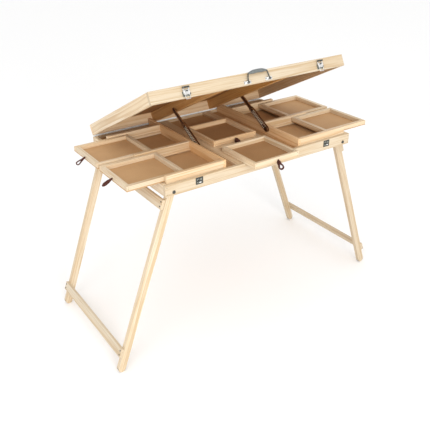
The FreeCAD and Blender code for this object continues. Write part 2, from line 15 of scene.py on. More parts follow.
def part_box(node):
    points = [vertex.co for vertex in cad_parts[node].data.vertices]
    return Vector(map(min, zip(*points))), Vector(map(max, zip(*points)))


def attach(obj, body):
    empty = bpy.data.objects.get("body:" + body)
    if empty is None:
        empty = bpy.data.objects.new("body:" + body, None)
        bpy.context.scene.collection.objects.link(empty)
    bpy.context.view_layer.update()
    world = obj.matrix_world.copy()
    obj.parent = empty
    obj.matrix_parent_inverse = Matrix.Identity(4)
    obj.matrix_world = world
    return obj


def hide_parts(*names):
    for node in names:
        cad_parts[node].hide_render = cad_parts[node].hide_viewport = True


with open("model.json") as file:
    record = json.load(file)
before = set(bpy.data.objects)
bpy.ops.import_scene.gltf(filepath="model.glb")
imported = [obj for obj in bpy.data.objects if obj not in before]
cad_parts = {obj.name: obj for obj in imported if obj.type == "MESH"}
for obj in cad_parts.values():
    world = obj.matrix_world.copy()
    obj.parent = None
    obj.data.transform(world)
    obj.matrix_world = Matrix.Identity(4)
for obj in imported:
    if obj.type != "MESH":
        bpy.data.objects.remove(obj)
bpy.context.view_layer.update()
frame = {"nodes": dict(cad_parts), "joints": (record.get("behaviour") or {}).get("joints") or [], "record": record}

MM = 0.001
SIDE_TRAY_WALL = 17 * MM
CENTRE_TRAY_WALL = 12 * MM
CABINET_WALL = 12 * MM
CABINET_CROSS_WALL = 15 * MM
CABINET_DEPTH = 487.5 * MM
LEDGE = 8 * MM
SLAT_FRONT, SLAT_REAR = 178 * MM, 206 * MM
SPLAY = math.radians(20.3)
RUNNER_INNER_X, RUNNER_OUTER_X = 96 * MM, 133 * MM
TRAY_GLIDE = 0.3 * MM
FITTINGS_X = 5 * MM
LATCH_X = 313 * MM
HANDLE_FOOT_X = 49.5 * MM
HINGE_SCREWS = 12
HINGE_SCREW_SPAN = 900 * MM
STAY_PITCH = 8.6
STAY_DOTS = 12
HANDLE_LEAN = math.radians(5)
HANDLE_REACH = 32 * MM
TRAYS = ("left_front", "left_rear", "right_front", "right_rear", "centre_front", "centre_rear")

joints = {j["name"]: j for j in frame["joints"]}
board_face = next(m for m in frame["record"]["mounts"] if m["name"] == "drawing_board_face")
TILT = math.atan2(board_face["axis"][1], board_face["axis"][2])
HINGE = Vector(joints["lid_tilt"]["pos_m"])
SIDES = {"left": -1, "right": 1}

# Turns that bring the pieces of each body square with the axes, so that a board's length can be read off.
LEVEL = Matrix.Identity(3)
LID = Matrix.Rotation(TILT, 3, "X")
LEG = {side: Matrix.Rotation(sign * SPLAY, 3, "Y") for side, sign in SIDES.items()}


# ---------------------------------------------------------------- materials

def shader(name):
    """A new material, its node tree and its main shader."""
    material = bpy.data.materials.new(name)
    material.use_nodes = True
    tree = material.node_tree
    return material, tree, tree.nodes["Principled BSDF"]


def node(tree, kind, inputs=(), **settings):
    """A node with its plain inputs set and its linked inputs linked."""
    made = tree.nodes.new(kind)
    for key, value in settings.items():
        setattr(made, key, value)
    for key, value in dict(inputs).items():
        if isinstance(value, bpy.types.NodeSocket):
            tree.links.new(value, made.inputs[key])
        else:
            made.inputs[key].default_value = value
    return made


def maths(tree, operation, first, second=0.0, clamp=False):
    made = node(tree, "ShaderNodeMath", {0: first, 1: second}, operation=operation, use_clamp=clamp)
    return made.outputs[0]


def stretched(tree, vector, scale):
    return node(tree, "ShaderNodeVectorMath", {0: vector, 1: scale}, operation="MULTIPLY").outputs[0]


def noise(tree, vector, scale, detail=3.0, roughness=0.5):
    inputs = {"Vector": vector, "Scale": scale, "Detail": detail, "Roughness": roughness}
    return node(tree, "ShaderNodeTexNoise", inputs).outputs["Fac"]


def ramp(tree, factor, stops, interpolation="LINEAR"):
    made = node(tree, "ShaderNodeValToRGB", {"Fac": factor})
    made.color_ramp.interpolation = interpolation
    while len(made.color_ramp.elements) < len(stops):
        made.color_ramp.elements.new(0.5)
    for element, (place, colour) in zip(made.color_ramp.elements, stops):
        element.position = place
        element.color = (*colour, 1.0) if len(colour) == 3 else colour
    return made.outputs["Color"]


def blend_colour(tree, factor, first, second, mode="MIX"):
    made = tree.nodes.new("ShaderNodeMix")
    made.data_type = "RGBA"
    made.blend_type = mode
    for index, value in ((0, factor), (6, first), (7, second)):
        if isinstance(value, bpy.types.NodeSocket):
            tree.links.new(value, made.inputs[index])
        else:
            made.inputs[index].default_value = (*value, 1.0) if index else value
    return made.outputs[2]


def between(tree, value, low, high):
    made = node(tree, "ShaderNodeMapRange", {"Value": value, "To Min": low, "To Max": high}, clamp=False)
    return made.outputs["Result"]


def bump(tree, bsdf, height, strength, distance):
    inputs = {"Height": height, "Strength": strength, "Distance": distance}
    made = node(tree, "ShaderNodeBump", inputs)
    tree.links.new(made.outputs["Normal"], bsdf.inputs["Normal"])


def pine():
    """Light pine under a thin satin varnish. Growth rings run round a heart line outside each board."""
    material, tree, bsdf = shader("pine")
    place = node(tree, "ShaderNodeAttribute", attribute_name="grain").outputs["Vector"]
    board = node(tree, "ShaderNodeAttribute", attribute_name="board").outputs["Vector"]
    seed = node(tree, "ShaderNodeSeparateXYZ", {0: board}).outputs
    tone, warmth = seed[0], seed[1]

    wander = noise(tree, stretched(tree, place, (1.6, 6, 6)), 1.0, 2.0)
    wander = maths(tree, "MULTIPLY", maths(tree, "SUBTRACT", wander, 0.5), 0.036)
    parts = node(tree, "ShaderNodeSeparateXYZ", {0: place}).outputs
    across = maths(tree, "ADD", parts[1], wander)
    radius = node(tree, "ShaderNodeCombineXYZ", {"Y": across, "Z": parts[2]}).outputs[0]
    radius = node(tree, "ShaderNodeVectorMath", {0: radius}, operation="LENGTH").outputs["Value"]
    uneven = noise(tree, stretched(tree, place, (2, 22, 22)), 1.0, 2.0)
    rings = maths(tree, "ADD", maths(tree, "MULTIPLY", radius, 190.0), maths(tree, "MULTIPLY", uneven, 1.5))
    rings = maths(tree, "FRACT", rings)
    late = ramp(tree, rings, ((0.0, (0.10,) * 3), (0.5, (0.22,) * 3), (0.84, (1.0,) * 3), (0.97, (0.0,) * 3)),
                "EASE")
    figure = blend_colour(tree, late, (0.820, 0.735, 0.580), (0.560, 0.395, 0.215))

    cloud = noise(tree, stretched(tree, place, (3, 34, 34)), 1.0, 4.0)
    figure = blend_colour(tree, ramp(tree, cloud, ((0.36, (0.0,) * 3), (0.66, (0.58,) * 3))), figure,
                          (0.700, 0.540, 0.335))
    cells = node(tree, "ShaderNodeTexVoronoi", {"Vector": stretched(tree, place, (2.6, 11, 11)), "Scale": 1.0,
                                                "Randomness": 1.0})
    chosen = node(tree, "ShaderNodeSeparateColor", {0: cells.outputs["Color"]}).outputs[0]
    knot = ramp(tree, cells.outputs["Distance"], ((0.025, (1.0,) * 3), (0.075, (0.0,) * 3)))
    knot = maths(tree, "MULTIPLY", knot, maths(tree, "GREATER_THAN", chosen, 0.72))
    fibre = noise(tree, stretched(tree, place, (34, 1500, 1500)), 1.0, 2.0, 0.6)
    figure = blend_colour(tree, between(tree, fibre, 0.0, 0.42), figure, (0.62, 0.48, 0.32))
    streak = noise(tree, stretched(tree, place, (5, 230, 230)), 1.0, 3.0, 0.6)
    streak = ramp(tree, streak, ((0.47, (0.0,) * 3), (0.66, (0.80,) * 3)))
    figure = blend_colour(tree, streak, figure, (0.58, 0.41, 0.225))
    fleck = noise(tree, stretched(tree, place, (55, 720, 720)), 1.0, 1.0)
    fleck = ramp(tree, fleck, ((0.70, (0.0,) * 3), (0.76, (1.0,) * 3)))
    figure = blend_colour(tree, maths(tree, "MULTIPLY", fleck, 0.34), figure, (0.42, 0.25, 0.12))

    figure = blend_colour(tree, maths(tree, "MULTIPLY", knot, 0.8), figure, (0.33, 0.16, 0.07))

    # Each board's warmth and tone vary at random. They are also set as painted shade (lid battens, lid right rail,
    # case and lid front rails, legs) and as painted light (lid rear rail, cabinet inner walls).
    warm = blend_colour(tree, warmth, (1.0, 1.0, 1.0), (1.0, 0.64, 0.27))
    figure = blend_colour(tree, 1.0, figure, warm, "MULTIPLY")
    shade = between(tree, tone, 0.92, 1.06)
    shade = node(tree, "ShaderNodeCombineColor", {0: shade, 1: shade, 2: shade}).outputs[0]
    figure = blend_colour(tree, 1.0, figure, shade, "MULTIPLY")
    tree.links.new(figure, bsdf.inputs["Base Color"])

    tree.links.new(between(tree, fibre, 0.38, 0.62), bsdf.inputs["Roughness"])
    bsdf.inputs["Coat Weight"].default_value = 0.12
    bsdf.inputs["Coat Roughness"].default_value = 0.35
    height = maths(tree, "ADD", maths(tree, "MULTIPLY", late, 0.35), fibre)
    bump(tree, bsdf, height, 0.5, 0.00012)
    return material


def hardboard(name, low, high):
    """Pressed brown fibreboard with a smooth, faintly mottled face and short random fibres."""
    material, tree, bsdf = shader(name)
    place = node(tree, "ShaderNodeTexCoord").outputs["Object"]
    cloud = noise(tree, place, 9.0, 5.0, 0.6)
    colour = blend_colour(tree, between(tree, cloud, -0.1, 1.1), low, high)
    strands = noise(tree, stretched(tree, place, (260, 1100, 600)), 1.0, 3.0, 0.65)
    strands_two = noise(tree, stretched(tree, place, (1150, 240, 600)), 1.0, 3.0, 0.65)
    fibres = maths(tree, "MAXIMUM", strands, strands_two)
    light = ramp(tree, fibres, ((0.56, (0.0,) * 3), (0.78, (1.0,) * 3)))
    colour = blend_colour(tree, maths(tree, "MULTIPLY", light, 0.42), colour, (0.62, 0.40, 0.22))
    dark = ramp(tree, strands, ((0.25, (1.0,) * 3), (0.42, (0.0,) * 3)))
    colour = blend_colour(tree, maths(tree, "MULTIPLY", dark, 0.35), colour, tuple(0.45 * c for c in low))
    tree.links.new(colour, bsdf.inputs["Base Color"])
    tree.links.new(between(tree, fibres, 0.55, 0.75), bsdf.inputs["Roughness"])
    bsdf.inputs["Specular IOR Level"].default_value = 0.2
    bump(tree, bsdf, fibres, 0.25, 0.00010)
    return material


def metal(name, base, worn, roughness, wear=0.3, scale=90.0, metallic=1.0):
    """Plated, painted or bronzed metal with cloudy wear and fine handling scratches."""
    material, tree, bsdf = shader(name)
    place = node(tree, "ShaderNodeTexCoord").outputs["Object"]
    cloud = noise(tree, place, scale, 6.0, 0.62)
    patch = ramp(tree, cloud, ((0.46, (0.0,) * 3), (0.68, (1.0,) * 3)))
    colour = blend_colour(tree, maths(tree, "MULTIPLY", patch, wear), base, worn)
    tree.links.new(colour, bsdf.inputs["Base Color"])
    scratch = noise(tree, stretched(tree, place, (90, 90, 2600)), 1.0, 2.0, 0.7)
    rough = maths(tree, "ADD", between(tree, cloud, roughness - 0.07, roughness + 0.09),
                  between(tree, scratch, -0.04, 0.06), clamp=True)
    tree.links.new(rough, bsdf.inputs["Roughness"])
    bsdf.inputs["Metallic"].default_value = metallic
    bump(tree, bsdf, maths(tree, "ADD", cloud, maths(tree, "MULTIPLY", scratch, 0.3)), 0.12, 0.0002)
    return material


def leather():
    """Dark red-brown leather with a pebbled grain and a cloudy tone."""
    material, tree, bsdf = shader("leather")
    place = node(tree, "ShaderNodeTexCoord").outputs["Object"]
    cells = node(tree, "ShaderNodeTexVoronoi", {"Vector": place, "Scale": 1500.0}, feature="DISTANCE_TO_EDGE")
    cells = ramp(tree, cells.outputs["Distance"], ((0.0, (0.0,) * 3), (0.28, (1.0,) * 3)))
    cloud = noise(tree, place, 160.0, 4.0)
    colour = blend_colour(tree, between(tree, cloud, 0.0, 1.0), (0.105, 0.020, 0.009), (0.340, 0.078, 0.030))
    colour = blend_colour(tree, maths(tree, "MULTIPLY", cells, 0.30), (0.045, 0.012, 0.008), colour)
    tree.links.new(colour, bsdf.inputs["Base Color"])
    tree.links.new(between(tree, cloud, 0.55, 0.75), bsdf.inputs["Roughness"])
    bsdf.inputs["Specular IOR Level"].default_value = 0.25
    bump(tree, bsdf, cells, 0.35, 0.0003)
    return material


PINE = pine()
TRAY_FLOOR = hardboard("tray_floor_hardboard", (0.480, 0.278, 0.128), (0.590, 0.368, 0.188))
# A darker hardboard for the centre tray floors: painted shade under the lid.
SHADED_CENTRE_HARDBOARD = hardboard("hardboard", (0.345, 0.182, 0.076), (0.440, 0.250, 0.115))
# The lid panel's deep brown is partly the hardboard's own colour and partly painted shade under the lid.
SHADED_LID_BOARD = hardboard("lid_hardboard_painted_shade", (0.300, 0.140, 0.048), (0.400, 0.200, 0.076))
NICKEL = metal("plated_steel", (0.86, 0.855, 0.84), (0.34, 0.33, 0.32), 0.20, 0.5, 220.0)
# The plating's near-white, barely metallic colour is a painted highlight, standing in for the glint of the hinge
# in the lid's shade.
ZINC_WITH_PAINTED_GLINT = metal("zinc_plated_steel_painted_glint", (0.95, 0.945, 0.93), (0.84, 0.84, 0.83), 0.42, 0.4, 70.0, 0.12)
# Pale strip colour on the stays' ratchet strips and dots: wear, and a painted highlight standing in for glints on
# the shaded stays.
STRIP_STEEL_AND_GLINT = metal("worn_strip_steel_and_painted_glint", (0.90, 0.82, 0.67), (0.52, 0.42, 0.28), 0.38, 0.6, 240.0, 0.25)
# Dark steel for bolts, screws and nails. The same material is painted shade on the lever tops and painted dark
# reflection on the plated catch plates.
DARK_STEEL_AND_SHADE = metal("dark_steel", (0.070, 0.070, 0.062), (0.200, 0.195, 0.175), 0.36, 0.6, 160.0, 0.8)
BRONZE = metal("bronzed_steel", (0.048, 0.022, 0.012), (0.240, 0.095, 0.035), 0.38, 0.85, 120.0, 0.7)
# Lighter bronze on the stays' rims and beaded edges: rubbed wear, and a painted edge highlight.
RUBBED_BRONZE_AND_GLINT = metal("rubbed_bronze_and_painted_glint", (0.340, 0.150, 0.055), (0.640, 0.400, 0.220), 0.36, 0.7, 150.0, 0.6)
GREY = metal("grey_metal", (0.150, 0.165, 0.165), (0.250, 0.260, 0.255), 0.40, 0.5, 60.0, 0.35)
PEWTER = metal("pressed_grey_steel", (0.215, 0.225, 0.195), (0.360, 0.365, 0.330), 0.42, 0.7, 180.0, 0.4)
LEATHER = leather()


# ---------------------------------------------------------------- mesh helpers

def finish_piece(name, mesh, material, body, slot, *stands_for):
    """Make one object of a mesh, give it its finish and tie it to its CAD body."""
    piece = bpy.data.objects.new(name, mesh)
    bpy.context.scene.collection.objects.link(piece)
    mesh.materials.append(material)
    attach(piece, body)
    if stands_for:
        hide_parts(*stands_for)
    return piece


def smooth(piece):
    """Smooth shading whose normals follow the large faces, so that eased edges read as eased."""
    for face in piece.data.polygons:
        face.use_smooth = True
    modifier = piece.modifiers.new("face_weighted_normals", "WEIGHTED_NORMAL")
    modifier.keep_sharp = False
    modifier.weight = 80


class Boards:
    """Collects boards, each with its own grain, into one mesh."""

    def __init__(self, name, warmth=0.15, lighter=0.0):
        self.name = name
        self.warmth, self.lighter = warmth, lighter
        self.random = random.Random(name)
        self.verts, self.faces, self.grain, self.board = [], [], [], []

    def add(self, bm, square, ease=1.0 * MM, shortest=5 * MM):
        """Add one board from a bmesh in place. square turns it to lie along the axes."""
        bmesh.ops.remove_doubles(bm, verts=bm.verts, dist=1e-5)
        bmesh.ops.dissolve_limit(bm, angle_limit=math.radians(0.5), verts=bm.verts, edges=bm.edges)
        sharp = [e for e in bm.edges if len(e.link_faces) == 2 and e.calc_length() > shortest
                 and e.calc_face_angle() > math.radians(30)]
        bmesh.ops.bevel(bm, geom=sharp, offset=ease, offset_type="OFFSET", segments=2, profile=0.5,
                        affect="EDGES", clamp_overlap=True)
        bmesh.ops.recalc_face_normals(bm, faces=bm.faces)
        turned = [square @ v.co for v in bm.verts]
        low = Vector(min(p[i] for p in turned) for i in range(3))
        high = Vector(max(p[i] for p in turned) for i in range(3))
        order = sorted(range(3), key=lambda i: low[i] - high[i])
        middle = (low + high) / 2
        rand = self.random
        heart = (rand.uniform(-0.5, 0.5) * (high - low)[order[1]],
                 rand.uniform(0.03, 0.11) * rand.choice((-1, 1)))
        shift = rand.uniform(-20, 20)
        tone, warmth = rand.random() + self.lighter, max(0.0, self.warmth + rand.uniform(-0.07, 0.07))
        start = len(self.verts)
        bm.verts.index_update()
        for vert, point in zip(bm.verts, turned):
            at = point - middle
            self.verts.append(vert.co.copy())
            self.grain.append((at[order[0]] + shift, at[order[1]] + heart[0], at[order[2]] + heart[1]))
            self.board.append((tone, warmth, 0.0))
        for face in bm.faces:
            self.faces.append([start + v.index for v in face.verts])
        bm.free()

    def box(self, low, high, ease=1.0 * MM):
        """Add a square board between two corners."""
        bm = bmesh.new()
        made = bmesh.ops.create_cube(bm, size=1.0)["verts"]
        low, high = Vector(low), Vector(high)
        for vert in made:
            vert.co = Vector((low[i] if vert.co[i] < 0 else high[i]) for i in range(3))
        self.add(bm, LEVEL, ease)

    def mesh(self):
        mesh = bpy.data.meshes.new(self.name)
        mesh.from_pydata(self.verts, [], self.faces)
        for label, values in (("grain", self.grain), ("board", self.board)):
            attribute = mesh.attributes.new(label, "FLOAT_VECTOR", "POINT")
            attribute.data.foreach_set("vector", [n for value in values for n in value])
        return mesh


def cad_mesh(cad_node, keep=lambda point: True):
    """A CAD node's faces as a bmesh, or those whose middle passes a test."""
    bm = bmesh.new()
    bm.from_mesh(frame["nodes"][cad_node].data)
    gone = [face for face in bm.faces if not keep(face.calc_center_median())]
    bmesh.ops.delete(bm, geom=gone, context="FACES")
    return bm


def timber(cad_node, body, square=LEVEL, warmth=0.15, ease=1.0 * MM, split=False, lighter=0.0):
    """A pine piece from its CAD node. split is for a node of two boards, one on each side."""
    boards = Boards(cad_node, warmth, lighter)
    if split:
        boards.add(cad_mesh(cad_node, lambda point: point.x < 0), square, ease)
        boards.add(cad_mesh(cad_node, lambda point: point.x > 0), square, ease)
    else:
        boards.add(cad_mesh(cad_node), square, ease)
    piece = finish_piece(cad_node + "_board", boards.mesh(), PINE, body, "pine", cad_node)
    smooth(piece)


def box_of(*cad_nodes):
    corners = [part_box(n) for n in cad_nodes]
    low = Vector(min(c[0][i] for c in corners) for i in range(3))
    high = Vector(max(c[1][i] for c in corners) for i in range(3))
    return low, high


# ---------------------------------------------------------------- woodwork

def case():
    for name in ("case_front_rail", "case_rear_rail", "case_left_end_rail", "case_right_end_rail"):
        front = name == "case_front_rail"
        # The case front rail's darker, less warm board (lighter -1.2) is painted shade, toning down its brightly
        # lit front face.
        timber(name, "case", warmth=0.02 if front else 0.12, lighter=-1.2 if front else 0.0)
    for side, sign in SIDES.items():
        cabinet(side, sign)
    runners()


def cabinet_rows(side):
    """The front faces of a cabinet's three cross walls."""
    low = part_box(side + "_cabinet_walls")[0]
    pitch = (CABINET_DEPTH - CABINET_CROSS_WALL) / 2
    return [low.y + row * pitch for row in range(3)]


def cabinet(side, sign):
    """The inner wall and the three cross walls of one cabinet."""
    name = side + "_cabinet_walls"
    low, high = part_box(name)
    # The inner wall's warmer, paler board (warmth 0.50, lighter 1.2) is painted warm bounce light on this shaded
    # wall.
    boards = Boards(name, 0.50, 1.2)
    inner_x = (low.x, low.x + CABINET_WALL) if sign > 0 else (high.x - CABINET_WALL, high.x)
    cross_x = (inner_x[1], high.x) if sign > 0 else (low.x, inner_x[0])
    boards.box((inner_x[0], low.y, low.z), (inner_x[1], high.y, high.z))
    boards.warmth, boards.lighter = 0.17, 0.1
    for front in cabinet_rows(side):
        boards.box((cross_x[0], front, low.z), (cross_x[1], front + CABINET_CROSS_WALL, high.z))
    smooth(finish_piece(name + "_boards", boards.mesh(), PINE, "case", "pine", name))


def runners():
    """The two rails and the slat under the centre trays, and the ledges under the side trays."""
    low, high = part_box("tray_runners")
    boards = Boards("tray_runners", 0.20)
    floor_low, floor_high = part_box("case_floor")
    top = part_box("centre_rear_tray_frame")[0].z - TRAY_GLIDE
    for sign in SIDES.values():
        a, b = sorted((sign * RUNNER_INNER_X, sign * RUNNER_OUTER_X))
        boards.box((a, floor_low.y, low.z), (b, floor_high.y, top))
    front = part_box("case_front_rail")[0].y
    boards.box((-RUNNER_INNER_X, front + SLAT_FRONT, low.z), (RUNNER_INNER_X, front + SLAT_REAR, top))
    for side, sign in SIDES.items():
        wall_low, wall_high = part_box(side + "_cabinet_walls")
        x = (wall_low.x + CABINET_WALL, wall_high.x) if sign > 0 else (wall_low.x, wall_high.x - CABINET_WALL)
        rows = cabinet_rows(side)
        for wall, next_wall in zip(rows, rows[1:]):
            for start in (wall + CABINET_CROSS_WALL, next_wall - LEDGE):
                boards.box((x[0], start, high.z - LEDGE), (x[1], start + LEDGE, high.z), 0.6 * MM)
    smooth(finish_piece("tray_runner_boards", boards.mesh(), PINE, "case", "pine", "tray_runners"))


def trays():
    for tray in TRAYS:
        name = tray + "_tray_frame"
        low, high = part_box(name)
        wall = CENTRE_TRAY_WALL if tray.startswith("centre") else SIDE_TRAY_WALL
        boards = Boards(name, 0.30 if tray == "centre_rear" else 0.10, 0.8 if tray == "centre_rear" else 0.0)
        in_low, in_high = low + Vector((wall,) * 3), high - Vector((wall,) * 3)
        boards.box(low, (high.x, in_low.y, high.z), 1.4 * MM)
        boards.box((low.x, in_high.y, low.z), high, 1.4 * MM)
        boards.box((low.x, in_low.y, low.z), (in_low.x, in_high.y, high.z), 1.4 * MM)
        boards.box((in_high.x, in_low.y, low.z), (high.x, in_high.y, high.z), 1.4 * MM)
        smooth(finish_piece(name + "_boards", boards.mesh(), PINE, tray + "_tray", "pine", name))


def lid():
    # The front rail's lowered tone (lighter -1.6) is painted shade, toning down its brightly lit front face.
    timber("lid_front_rail", "lid", LID, warmth=0.06, lighter=-1.6)
    timber("lid_left_rail", "lid", LID, warmth=0.06)
    # The right rail's warmer, darker board (warmth 0.40, lighter -1.2) is painted shade on its shaded inner face.
    timber("lid_right_rail", "lid", LID, warmth=0.40, lighter=-1.2)
    # The rear rail's paler board (lighter 1.5) is painted light, standing in for light thrown up from the trays
    # onto its inner face.
    timber("lid_rear_rail", "lid", LID, warmth=0.30, lighter=1.5)
    # The battens' deep warm brown (warmth 0.95, lighter -1.0) is painted shade under the lid.
    timber("lid_battens", "lid", LID, warmth=0.95, split=True, lighter=-1.0)


def legs():
    for side in SIDES:
        body = side + "_leg_frame"
        for part in ("front_leg", "rear_leg", "upper_stretcher", "lower_stretcher"):
            # The legs' lowered board tone (lighter -0.3, and -1.1 on the right frame) is painted shade.
            timber(f"{side}_{part}", body, LEG[side], warmth=0.02, ease=1.6 * MM,
                   lighter=-1.1 if side == "right" else -0.3)


def sheets():
    """The hardboard panels keep their CAD shapes and get their finish."""
    # The lid panel's darker brown is painted shade under the lid.
    paint("lid_panel", SHADED_LID_BOARD)
    paint("case_floor", TRAY_FLOOR)
    for tray in TRAYS:
        # The centre tray floors get the darker hardboard, which is painted shade.
        paint(tray + "_tray_floor", SHADED_CENTRE_HARDBOARD if tray.startswith("centre") else TRAY_FLOOR)


def paint(cad_node, material):
    """Give a CAD node, which keeps its own shape, one material."""
    piece = frame["nodes"][cad_node]
    piece.data.materials.clear()
    piece.data.materials.append(material)


# ---------------------------------------------------------------- metalwork and leather

def closed_lid(x, out, up):
    """A point given for the closed lid: out in front of its front face, up from the case's top edge."""
    at = Vector((x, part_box("case_front_rail")[0].y - out, HINGE.z + up))
    return HINGE + LID.transposed() @ (at - HINGE)


def closed_way(x, y, z):
    return LID.transposed() @ Vector((x, y, z))


def from_bmesh(bm, name, material, body, slot, *stands_for):
    """Finish a bmesh of bars and bands as one piece with its four-sided faces smoothly shaded."""
    bmesh.ops.recalc_face_normals(bm, faces=bm.faces)
    mesh = bpy.data.meshes.new(name)
    bm.to_mesh(mesh)
    bm.free()
    for face in mesh.polygons:
        face.use_smooth = len(face.vertices) == 4
    return finish_piece(name, mesh, material, body, slot, *stands_for)


class Fixings:
    """Round heads of screws, nails and rivets gathered into one mesh."""

    SIDES = 16

    def __init__(self):
        self.bm = bmesh.new()

    def head(self, place, way, radius, height, recess=0.5 * MM, sunk=0.0):
        """A domed head that stands on place and looks along way. recess is the depth of its cross."""
        turn = Vector((0, 0, 1)).rotation_difference(way.normalized()).to_matrix()
        spin = Matrix.Rotation((place.x * 913 + place.y * 577 + place.z * 331) % 1.57, 3, "Z")
        rings = []
        profile = ((0.20, 1.0, 1), (0.46, 0.92, 1), (0.70, 0.75, 0), (0.90, 0.42, 0),
                   (1.0, 0.10, 0), (1.0, -0.12, 0))
        for share, level, inner in profile:
            ring = []
            for n in range(self.SIDES):
                angle = math.tau * n / self.SIDES
                up = level * height - sunk
                if inner and n % 4 == 0:
                    up -= recess
                point = Vector((math.cos(angle) * radius * share, math.sin(angle) * radius * share, up))
                ring.append(self.bm.verts.new(place + turn @ (spin @ point)))
            rings.append(ring)
        middle = self.bm.verts.new(place + turn @ Vector((0, 0, height - sunk - recess)))
        for n in range(self.SIDES):
            m = (n + 1) % self.SIDES
            self.bm.faces.new((middle, rings[0][n], rings[0][m]))
            for inside, outside in zip(rings, rings[1:]):
                self.bm.faces.new((inside[n], outside[n], outside[m], inside[m]))

    def piece(self, name, material, body, slot):
        bmesh.ops.recalc_face_normals(self.bm, faces=self.bm.faces)
        mesh = bpy.data.meshes.new(name)
        self.bm.to_mesh(mesh)
        self.bm.free()
        finish_piece(name, mesh, material, body, slot)
        for face in mesh.polygons:
            face.use_smooth = True


def plates():
    """Sheet-metal pieces, bolts and pins keep their CAD shapes and get their finish."""
    # The hinge's near-white is a painted highlight.
    for name in ("hinge_lower_leaf", "hinge_upper_leaf", "hinge_pin"):
        paint(name, ZINC_WITH_PAINTED_GLINT)
    for name in ("handle_brackets", "left_latch_loop", "right_latch_loop"):
        paint(name, NICKEL)
    paint("latch_plates", PEWTER)
    for side in SIDES:
        paint(side + "_latch_lever", NICKEL)
        paint(side + "_leg_screws", DARK_STEEL_AND_SHADE)
        paint(side + "_stay_lower_arm", BRONZE)
        paint(side + "_stay_upper_arm", BRONZE)
    # The catch plates' dark colour is painted dark reflection on plated plates.
    for name in ("leg_bolts", "catch_plates"):
        paint(name, DARK_STEEL_AND_SHADE)
    for name in ("stay_case_pins", "stay_lid_pins"):
        paint(name, BRONZE)


def fixings():
    """Screws of the hinge, latches, catches and handle, and the nails of the case and the trays."""
    down_leaf, up_leaf = Fixings(), Fixings()
    leaf_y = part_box("hinge_lower_leaf")[0].y + 4.5 * MM
    leaf_z = HINGE.z - 0.2 * MM
    for n in range(HINGE_SCREWS):
        x = (-0.5 + (n + 0.5) / HINGE_SCREWS) * HINGE_SCREW_SPAN
        down_leaf.head(Vector((x, leaf_y, leaf_z)), Vector((0, 0, 1)), 2.1 * MM, 0.5 * MM, 0.3 * MM)
        level = Vector((x, leaf_y, HINGE.z + 0.2 * MM))
        up_leaf.head(HINGE + LID.transposed() @ (level - HINGE), closed_way(0, 0, -1),
                     2.1 * MM, 0.5 * MM, 0.3 * MM)
    down_leaf.piece("lower_leaf_screws", ZINC_WITH_PAINTED_GLINT, "case", "plated_steel")
    up_leaf.piece("upper_leaf_screws", ZINC_WITH_PAINTED_GLINT, "lid", "plated_steel")

    out = closed_way(0, -1, 0)
    lid_screws = Fixings()
    for x in (-1, 1):
        for offset in (-12.3, 12.3):
            place = closed_lid(FITTINGS_X + x * HANDLE_FOOT_X + offset * MM, 1.5 * MM, 10 * MM)
            lid_screws.head(place, out, 2.3 * MM, 1.0 * MM)
        for offset in (-10.5, 10.5):
            place = closed_lid(FITTINGS_X + x * LATCH_X + offset * MM, 1.2 * MM, 7.8 * MM)
            lid_screws.head(place, out, 1.9 * MM, 0.6 * MM)
    lid_screws.piece("latch_and_handle_screws", DARK_STEEL_AND_SHADE, "lid", "dark_steel")

    catches = Fixings()
    front = Vector((0, -1, 0))
    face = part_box("case_front_rail")[0].y
    catch_low, catch_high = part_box("catch_plates")
    for middle in (FITTINGS_X - LATCH_X, FITTINGS_X + LATCH_X):
        for offset in (-11.8, 11.8):
            for z in (catch_low.z + 4 * MM, catch_high.z - 4 * MM):
                catches.head(Vector((middle + offset * MM, face - 1.2 * MM, z)), front, 2.3 * MM, 0.9 * MM)
    catches.piece("catch_screws", DARK_STEEL_AND_SHADE, "case", "dark_steel")
    nails = Fixings()
    low, high = box_of("case_front_rail", "case_rear_rail")
    for x in (low.x + 7 * MM, high.x - 7 * MM):
        for z in (low.z + 9 * MM, high.z - 9 * MM):
            nails.head(Vector((x, low.y, z)), front, 1.3 * MM, 0.25 * MM, 0.0)
            nails.head(Vector((x, high.y, z)), -front, 1.3 * MM, 0.25 * MM, 0.0)
    for side, sign in SIDES.items():
        wall_low, wall_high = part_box(side + "_cabinet_walls")
        for z in (wall_high.z - 8 * MM, wall_high.z - 20 * MM):
            x = wall_low.x + 6 * MM if sign > 0 else wall_high.x - 6 * MM
            nails.head(Vector((x, wall_low.y, z)), front, 1.3 * MM, 0.25 * MM, 0.0)
    nails.piece("case_nails", DARK_STEEL_AND_SHADE, "case", "dark_steel")

    for tray in TRAYS:
        low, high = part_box(tray + "_tray_frame")
        tacks = Fixings()
        for x in (low.x + 7 * MM, high.x - 7 * MM):
            for z in (low.z + 5 * MM, high.z - 5 * MM):
                tacks.head(Vector((x, low.y, z)), front, 1.1 * MM, 0.2 * MM, 0.0)
                tacks.head(Vector((x, high.y, z)), -front, 1.1 * MM, 0.2 * MM, 0.0)
        tacks.piece(tray + "_tray_tacks", DARK_STEEL_AND_SHADE, tray + "_tray", "dark_steel")


def loft(bm, rings):
    """Join rings of points, each with as many points as the next, into a bar closed at both ends."""
    count = len(rings[0])
    for first, second in zip(rings, rings[1:]):
        for n in range(count):
            m = (n + 1) % count
            bm.faces.new((first[n], first[m], second[m], second[n]))
    bm.faces.new(list(reversed(rings[0])))
    bm.faces.new(rings[-1])


def flat_bar(bm, section, centre, thick):
    """Extrude a closed outline in the YZ plane to a bar centred on one X."""
    front = [bm.verts.new((centre - thick / 2, y, z)) for y, z in section]
    back = [bm.verts.new((centre + thick / 2, y, z)) for y, z in section]
    bm.faces.new(front)
    bm.faces.new(list(reversed(back)))
    for n in range(len(section)):
        m = (n + 1) % len(section)
        bm.faces.new((front[m], front[n], back[n], back[m]))


